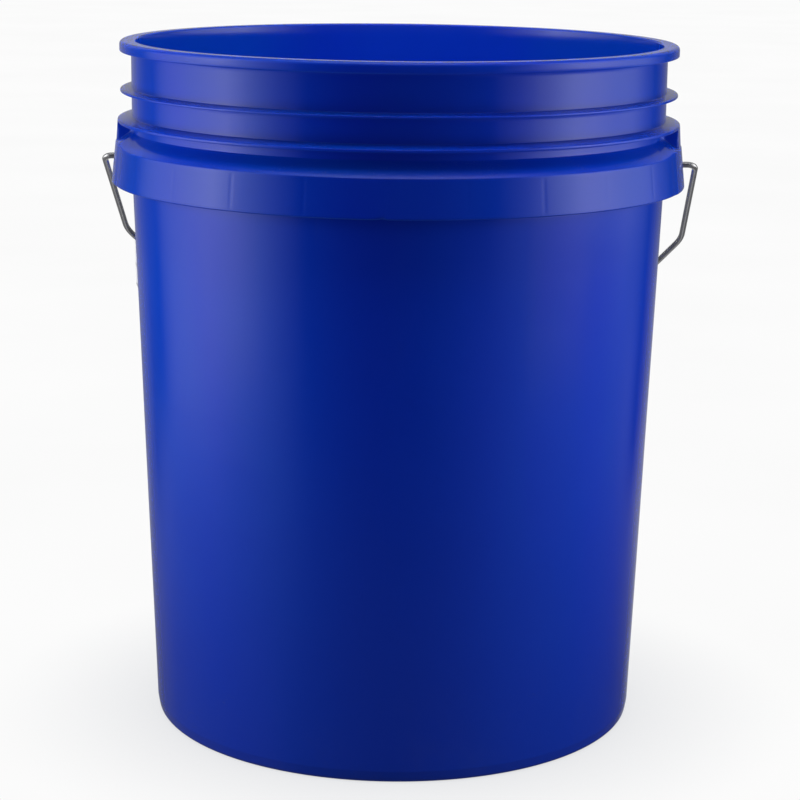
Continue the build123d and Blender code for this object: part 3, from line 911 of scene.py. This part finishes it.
    # relief: grain, orange peel, level hoops from the draw of the mould, slow waves, wear
    grain = net.noise(co, scale=1500.0, detail=2.0, rough=0.5)
    peel = net.noise(co, scale=230.0, detail=3.0, rough=0.5)
    hoop = net.noise(stretch(3.0, 3.0, 95.0), scale=1.0, detail=4.0, rough=0.6)
    slow = net.noise(stretch(1, 1, 0.45), scale=22.0, detail=2.0, rough=0.4)
    height = net.times(grain, 0.0000022)
    height = net.plus(height, peel, amount=0.0000075)
    height = net.plus(height, hoop, amount=0.000024)
    height = net.plus(height, slow, amount=0.00016)
    height = net.plus(height, scratch, amount=0.000006, op="SUBTRACT")
    height = net.plus(height, scuff, amount=0.000012, op="SUBTRACT")
    net.surface(base, rough, height, IOR=1.52, Specular_IOR_Level=0.5)
    return mat


def wire_material():
    """Galvanised steel with a faint spangle."""
    zinc, dull_zinc = (0.70, 0.70, 0.715, 1), (0.56, 0.56, 0.575, 1)
    spangle_grey, stain_grey = (0.80, 0.80, 0.81, 1), (0.20, 0.195, 0.20, 1)

    mat, net = material("galvanised_wire")
    co = net.object_coords()
    cells = net.add("ShaderNodeTexVoronoi", {"Vector": co, "Scale": 420.0}, feature="F1")
    spangle = net.xyz(cells.outputs["Color"])[0]
    broad = net.noise(co, scale=160.0, detail=5.0, rough=0.65)
    fine = net.noise(co, scale=1400.0, detail=3.0, rough=0.6)
    base = net.mix(net.remap(broad, (0.35, 0.7)), zinc, dull_zinc)
    base = net.mix(net.times(spangle, 0.25), base, spangle_grey)
    stain = net.remap(net.noise(co, scale=60.0, detail=6.0, rough=0.7), (0.58, 0.72), to=(0, 0.30))
    base = net.mix(stain, base, stain_grey)
    rough = net.plus(net.remap(broad, (0.3, 0.7), to=(0.15, 0.24)), spangle, amount=0.06)
    height = net.plus(net.times(fine, 0.000006), broad, amount=0.000018)
    net.surface(base, rough, height, Metallic=0.90)
    return mat


def grip_material():
    """Off-white plastic, darker in its recesses."""
    white, aged_white, recess_grey = (0.80, 0.80, 0.775, 1), (0.72, 0.715, 0.68, 1), \
        (0.42, 0.40, 0.36, 1)
    rough_offset = 0.0

    mat, net = material("white_grip_plastic")
    co = net.object_coords()
    ageing = net.remap(net.noise(co, scale=50.0, detail=5.0, rough=0.6), (0.35, 0.7))
    base = net.mix(ageing, white, aged_white)
    # darker where ambient occlusion finds a recess
    recess = net.add("ShaderNodeAmbientOcclusion", {"Distance": 0.0015}, samples=6,
                     only_local=True)
    recess_dark = net.remap(recess.outputs["AO"], (0.35, 0.95), to=(0.45, 0.0))
    base = net.mix(recess_dark, base, recess_grey)
    rough = net.remap(net.noise(co, scale=300.0, detail=4.0, rough=0.6), (0.3, 0.7),
                      to=(0.36, 0.50))
    rough = net.math("ADD", rough, rough_offset)
    height = net.times(net.noise(co, scale=1800.0, detail=2.0, rough=0.5), 0.00001)
    height = net.plus(height, net.noise(co, scale=220.0, detail=3.0, rough=0.5), amount=0.00002)
    net.surface(base, rough, height, IOR=1.49, Subsurface_Weight=0.15,
                Subsurface_Radius=(0.004, 0.004, 0.004), Subsurface_Scale=0.5)
    return mat


def label_material():
    """Paper with two plain ruled lines and no lettering."""
    paper, paper_fibre = (0.80, 0.80, 0.82, 1), (0.72, 0.72, 0.745, 1)
    blot_grey, ink = (0.60, 0.60, 0.61, 1), (0.09, 0.09, 0.10, 1)

    mat, net = material("label_paper")
    co = net.object_coords()
    pos = net.xyz(co)
    fibre = net.noise(co, scale=900.0, detail=5.0, rough=0.7)
    blot = net.noise(co, scale=70.0, detail=4.0, rough=0.6)
    base = net.mix(net.remap(fibre, (0.3, 0.7)), paper, paper_fibre)
    base = net.mix(net.remap(blot, (0.5, 0.75), to=(0, 0.25)), base, blot_grey)
    z_mm = net.times(pos[2], 1000.0)

    def ruled(height_mm, edge_mm):
        """A level line whose ink fades out between the two half widths in edge_mm."""
        away = net.math("ABSOLUTE", net.math("SUBTRACT", z_mm, height_mm))
        return net.remap(away, edge_mm, to=(0.75, 0.0))

    lines = net.math("MAXIMUM", ruled(height_mm=251.3, edge_mm=(0.35, 0.55)),
                     ruled(height_mm=240.1, edge_mm=(0.5, 0.7)))
    base = net.mix(lines, base, ink)
    height = net.plus(net.times(fibre, 0.000012), blot, amount=0.00004)
    net.surface(base, 0.62, height, IOR=1.4)
    return mat


assign(pail, pail_material())
assign(wire, wire_material())
assign(label, label_material())
assign(frame["nodes"]["bail_grip"], grip_material())

# ---------------------------------------------------------------------------
# Studio: camera, pale floor, painted surroundings and three lights
# ---------------------------------------------------------------------------
STUDIO_TURN = math.radians(2.3)       # camera and lights are turned this far about Z
CAM_DIST, CAM_Z = 1262.15, 461.98     # mm
CAM_PITCH, CAM_YAW, CAM_ROLL = 0.2237, 0.0019, 0.0117     # radians, pitch being downward
LENS, SENSOR = 103.56885, 36.0        # mm


def pose(ob, right, up, forward, place):
    """Place a camera or light so that it looks along forward."""
    matrix = Matrix.Identity(4)
    for i in range(3):
        row = matrix[i]
        row[0], row[1], row[2], row[3] = right[i], up[i], -forward[i], place[i]
    ob.matrix_world = matrix


def make_camera():
    forward = np.array([math.sin(CAM_YAW) * math.cos(CAM_PITCH),
                        math.cos(CAM_YAW) * math.cos(CAM_PITCH), -math.sin(CAM_PITCH)])
    level = np.array([math.cos(CAM_YAW), -math.sin(CAM_YAW), 0.0])
    upright = np.cross(level, forward)
    c, s = math.cos(CAM_ROLL), math.sin(CAM_ROLL)
    right, up = c * level + s * upright, -s * level + c * upright
    c, s = math.cos(STUDIO_TURN), math.sin(STUDIO_TURN)
    turn = np.array([[c, -s, 0], [s, c, 0], [0, 0, 1]])
    place = turn @ np.array([0, -CAM_DIST, CAM_Z]) * MM
    cam = bpy.data.cameras.new("camera")
    cam.lens = LENS
    cam.sensor_width = SENSOR
    cam.clip_start, cam.clip_end = 0.05, 60.0
    ob = place_object("camera", cam)
    pose(ob, turn @ right, turn @ up, turn @ forward, place)
    bpy.context.scene.camera = ob


def floor_material():
    """Evenly bright, with a painted contact shadow close to the pail."""
    pale, paler, painted_contact_shadow = (0.955, 0.955, 0.955, 1), (0.975, 0.975, 0.975, 1), \
        (0.70, 0.71, 0.74, 1)
    mat, net = material("pale_floor")
    co = net.object_coords()
    cloud = net.noise(co, scale=3.0, detail=3.0, rough=0.5)
    colour = net.mix(net.remap(cloud, (0.3, 0.7)), pale, paler)
    # painted contact shadow: the emissive floor is darkened where occlusion finds the pail nearby
    near = net.add("ShaderNodeAmbientOcclusion", {"Distance": 0.10}, samples=8)
    colour = net.mix(net.remap(near.outputs["AO"], (0.2, 1.0), to=(0.0, 1.0)), painted_contact_shadow, colour)
    net.finish(net.add("ShaderNodeEmission", {"Color": colour, "Strength": 1.0}))
    return mat


def make_floor():
    radius, sides, z = 14.0, 96, -0.0002
    turns = [2 * math.pi * k / sides for k in range(sides)]
    mesh = bpy.data.meshes.new("floor")
    mesh.from_pydata([(radius * math.cos(a), radius * math.sin(a), z) for a in turns], [],
                     [tuple(range(sides))])
    floor = place_object("floor", mesh)
    assign(floor, floor_material())
    floor.visible_glossy = False
    floor.visible_diffuse = False
    floor.visible_transmission = False


# Brightness round the studio as the gloss sees it. AZIMUTHS are degrees round from the camera,
# left negative; each row is an elevation in degrees and a value for each azimuth.
AZIMUTHS = [-180, -163, -151, -139, -127, -114, -102, -89, -77, -64, -51, -39, -26, -13, 0,
            13, 26, 39, 51, 64, 77, 89, 102, 114, 127, 139, 151, 163, 180]
GLOSS_ROWS = [
    (-24.6, [0.30, 0.18, 0.14, 0.14, 0.12, 0.13, 0.14, 0.12, 0.13, 0.12, 0.08, 0.07, 0.06, 0.06, 0.05,
             0.06, 0.06, 0.07, 0.08, 0.08, 0.08, 0.07, 0.07, 0.07, 0.07, 0.08, 0.11, 0.30, 0.45]),
    (-22.3, [0.32, 0.22, 0.18, 0.18, 0.18, 0.18, 0.18, 0.18, 0.18, 0.15, 0.12, 0.07, 0.06, 0.06, 0.05,
             0.05, 0.06, 0.07, 0.07, 0.10, 0.10, 0.09, 0.10, 0.10, 0.11, 0.14, 0.18, 0.33, 0.48]),
    (-20.2, [0.40, 0.28, 0.18, 0.14, 0.22, 0.21, 0.25, 0.28, 0.24, 0.23, 0.15, 0.08, 0.05, 0.03, 0.02,
             0.03, 0.04, 0.07, 0.10, 0.12, 0.14, 0.12, 0.14, 0.14, 0.15, 0.16, 0.30, 0.34, 0.50]),
    (-19.2, [0.42, 0.30, 0.16, 0.07, 0.22, 0.26, 0.31, 0.32, 0.23, 0.21, 0.16, 0.07, 0.04, 0.02, 0.01,
             0.01, 0.04, 0.08, 0.11, 0.13, 0.18, 0.15, 0.17, 0.16, 0.17, 0.05, 0.25, 0.32, 0.48]),
    (-18.4, [0.42, 0.25, 0.19, 0.07, 0.17, 0.35, 0.52, 0.62, 0.42, 0.27, 0.18, 0.06, 0.03, 0.02, 0.01,
             0.01, 0.04, 0.07, 0.13, 0.16, 0.20, 0.16, 0.16, 0.15, 0.19, 0.00, 0.26, 0.33, 0.46]),
    (-17.7, [0.42, 0.24, 0.20, 0.05, 0.04, 0.48, 0.75, 0.82, 0.70, 0.36, 0.18, 0.03, 0.01, 0.01, 0.00,
             0.01, 0.04, 0.08, 0.13, 0.19, 0.18, 0.19, 0.17, 0.17, 0.20, 0.00, 0.19, 0.34, 0.44]),
    (-16.5, [0.42, 0.24, 0.19, 0.05, 0.02, 0.51, 0.78, 0.94, 0.83, 0.56, 0.24, 0.01, 0.01, 0.00, 0.00,
             0.00, 0.03, 0.08, 0.13, 0.17, 0.20, 0.21, 0.22, 0.21, 0.20, 0.01, 0.16, 0.30, 0.44]),
    (-14.5, [0.42, 0.27, 0.23, 0.08, 0.02, 0.54, 0.95, 1.18, 1.15, 0.78, 0.32, 0.01, 0.01, 0.00, 0.00,
             0.00, 0.03, 0.08, 0.15, 0.23, 0.32, 0.33, 0.32, 0.27, 0.14, 0.00, 0.17, 0.30, 0.42]),
    (-13.1, [0.42, 0.28, 0.17, 0.08, 0.05, 0.56, 1.00, 1.50, 1.40, 0.86, 0.37, 0.01, 0.01, 0.00, 0.00,
             0.00, 0.01, 0.06, 0.21, 0.26, 0.48, 0.62, 0.52, 0.56, 0.24, 0.02, 0.13, 0.22, 0.42]),
    (-8.5, [0.42, 0.30, 0.22, 0.08, 0.04, 0.60, 1.05, 1.55, 2.10, 1.05, 0.36, 0.01, 0.00, 0.00, 0.00,
            0.00, 0.01, 0.02, 0.40, 1.10, 2.10, 1.90, 1.25, 0.85, 0.24, 0.01, 0.11, 0.22, 0.42]),
    (3.5, [0.50, 0.34, 0.21, 0.14, 0.05, 0.69, 1.17, 1.90, 2.75, 1.08, 0.42, 0.01, 0.00, 0.00, 0.00,
           0.00, 0.01, 0.01, 0.34, 1.20, 2.30, 1.95, 1.28, 0.80, 0.13, 0.02, 0.10, 0.28, 0.50]),
    (11.0, [0.02, 0.17, 0.30, 0.12, 0.06, 0.50, 0.95, 1.60, 2.30, 1.00, 0.36, 0.02, 0.01, 0.01, 0.01,
            0.01, 0.02, 0.03, 0.30, 1.05, 2.00, 1.70, 1.15, 0.60, 0.12, 0.10, 0.22, 0.20, 0.02]),
    (26.0, [0.02, 0.26, 0.46, 0.20, 0.06, 0.40, 0.80, 1.40, 2.00, 0.85, 0.32, 0.02, 0.01, 0.01, 0.01,
            0.01, 0.02, 0.03, 0.28, 0.95, 1.80, 1.40, 0.90, 0.50, 0.10, 0.14, 0.36, 0.24, 0.02]),
    (48.0, [0.08, 0.08, 0.08, 0.08, 0.10, 0.15, 0.20, 0.25, 0.25, 0.20, 0.12, 0.06, 0.05, 0.05, 0.05,
            0.05, 0.05, 0.06, 0.12, 0.20, 0.25, 0.25, 0.20, 0.15, 0.10, 0.08, 0.08, 0.08, 0.08]),
    (72.0, [0.5] * len(AZIMUTHS)),
]
GLOSS_MAX = 3.0                       # the ramps hold brightness as a share of this


def build_world():
    to_degrees = 180 / math.pi
    row_drop = 2.1                    # degrees the rows are raised at 90 degrees from the camera
    fill, overhead = 0.20, 7.5        # brightness all round, and added straight above
    camera_white = 1.0

    world = bpy.data.worlds.new("studio")
    bpy.context.scene.world = world
    world.use_nodes = True
    world.node_tree.nodes.clear()
    world.cycles.sampling_method = "NONE"
    net = Nodes(world.node_tree)
    direction = net.add("ShaderNodeTexCoord").outputs["Generated"]
    turned = net.add("ShaderNodeVectorRotate", {"Vector": direction, "Angle": -STUDIO_TURN},
                     rotation_type="Z_AXIS")
    x, y, z = net.xyz(turned)
    azimuth = net.times(net.math("ARCTAN2", x, net.times(y, -1.0)), to_degrees)
    elevation = net.times(net.math("ARCSINE", z), to_degrees)
    across = net.remap(azimuth, (-180, 180))
    # rows run level for a wall at any turn from the camera
    level = net.math("SQRT", net.math("ADD", net.times(x, x), net.times(y, y)))
    towards = net.math("DIVIDE", net.times(y, -1.0), net.math("MAXIMUM", level, 0.001))
    drop = net.times(net.math("SUBTRACT", 1.0, towards), row_drop)
    row_height = net.math("SUBTRACT", elevation, drop)
    gloss = None
    below = None
    for row_elevation, values in GLOSS_ROWS:
        stops = [((a + 180) / 360, value / GLOSS_MAX) for a, value in zip(AZIMUTHS, values)]
        row = net.grey_ramp(across, stops)
        if gloss is None:
            gloss = row
        else:
            gloss = net.mix(net.remap(row_height, (below, row_elevation)), gloss, row)
        below = row_elevation
    gloss = net.times(gloss, GLOSS_MAX)
    # what fills the shadows: a little all round and a broad light overhead
    diffuse = net.math("ADD", net.remap(elevation, (60.0, 74.0), to=(0.0, overhead),
                                        kind="SMOOTHSTEP"), fill)
    rays = net.add("ShaderNodeLightPath")
    strength = net.mix_value(rays.outputs["Is Glossy Ray"], diffuse, gloss)
    strength = net.mix_value(rays.outputs["Is Camera Ray"], strength, camera_white)
    background = net.add("ShaderNodeBackground", {"Color": (1, 1, 1, 1), "Strength": strength})
    net.finish(background, kind="ShaderNodeOutputWorld")


PANEL_W, PANEL_H = 0.207, 0.30
PANEL_DIST, PANEL_Z = 0.441, 0.277
MOUTH_DIAMETER, MOUTH_LIGHT_Z, MOUTH_RADIANCE = 0.22, 0.40, 1.8


def area_light(name, shape, size, radiance, area_over_pi):
    """A soft light that shades the surfaces and is not itself seen."""
    light = bpy.data.lights.new(name, "AREA")
    light.shape = shape
    light.size = size
    light.energy = radiance * math.pi * math.pi * area_over_pi
    ob = place_object(name, light)
    ob.visible_glossy = False
    ob.visible_camera = False
    return ob


def side_light(name, azimuth, radiance):
    """A tall narrow panel beside the pail, azimuth degrees round from the camera."""
    a = math.radians(azimuth) + STUDIO_TURN
    ob = area_light(name, "RECTANGLE", PANEL_W, radiance, PANEL_W * PANEL_H / math.pi)
    ob.data.size_y = PANEL_H
    ob.data.energy = radiance * math.pi * PANEL_W * PANEL_H
    forward = Vector((-math.sin(a), math.cos(a), 0))
    right = Vector((math.cos(a), math.sin(a), 0))
    place = Vector((math.sin(a) * PANEL_DIST, -math.cos(a) * PANEL_DIST, PANEL_Z))
    pose(ob, right, right.cross(forward), forward, place)


make_camera()
make_floor()
build_world()
side_light("panel_left", azimuth=-66.1, radiance=5.94)
side_light("panel_right", azimuth=63.2, radiance=4.84)
# the mouth is lit from above by a soft round light
mouth = area_light("mouth", "DISK", MOUTH_DIAMETER, MOUTH_RADIANCE, (MOUTH_DIAMETER / 2) ** 2)
mouth.location = (0, 0, MOUTH_LIGHT_Z)

view = bpy.context.scene.view_settings
view.view_transform = "Standard"
view.look = "None"
view.exposure = 0.0
view.gamma = 1.0
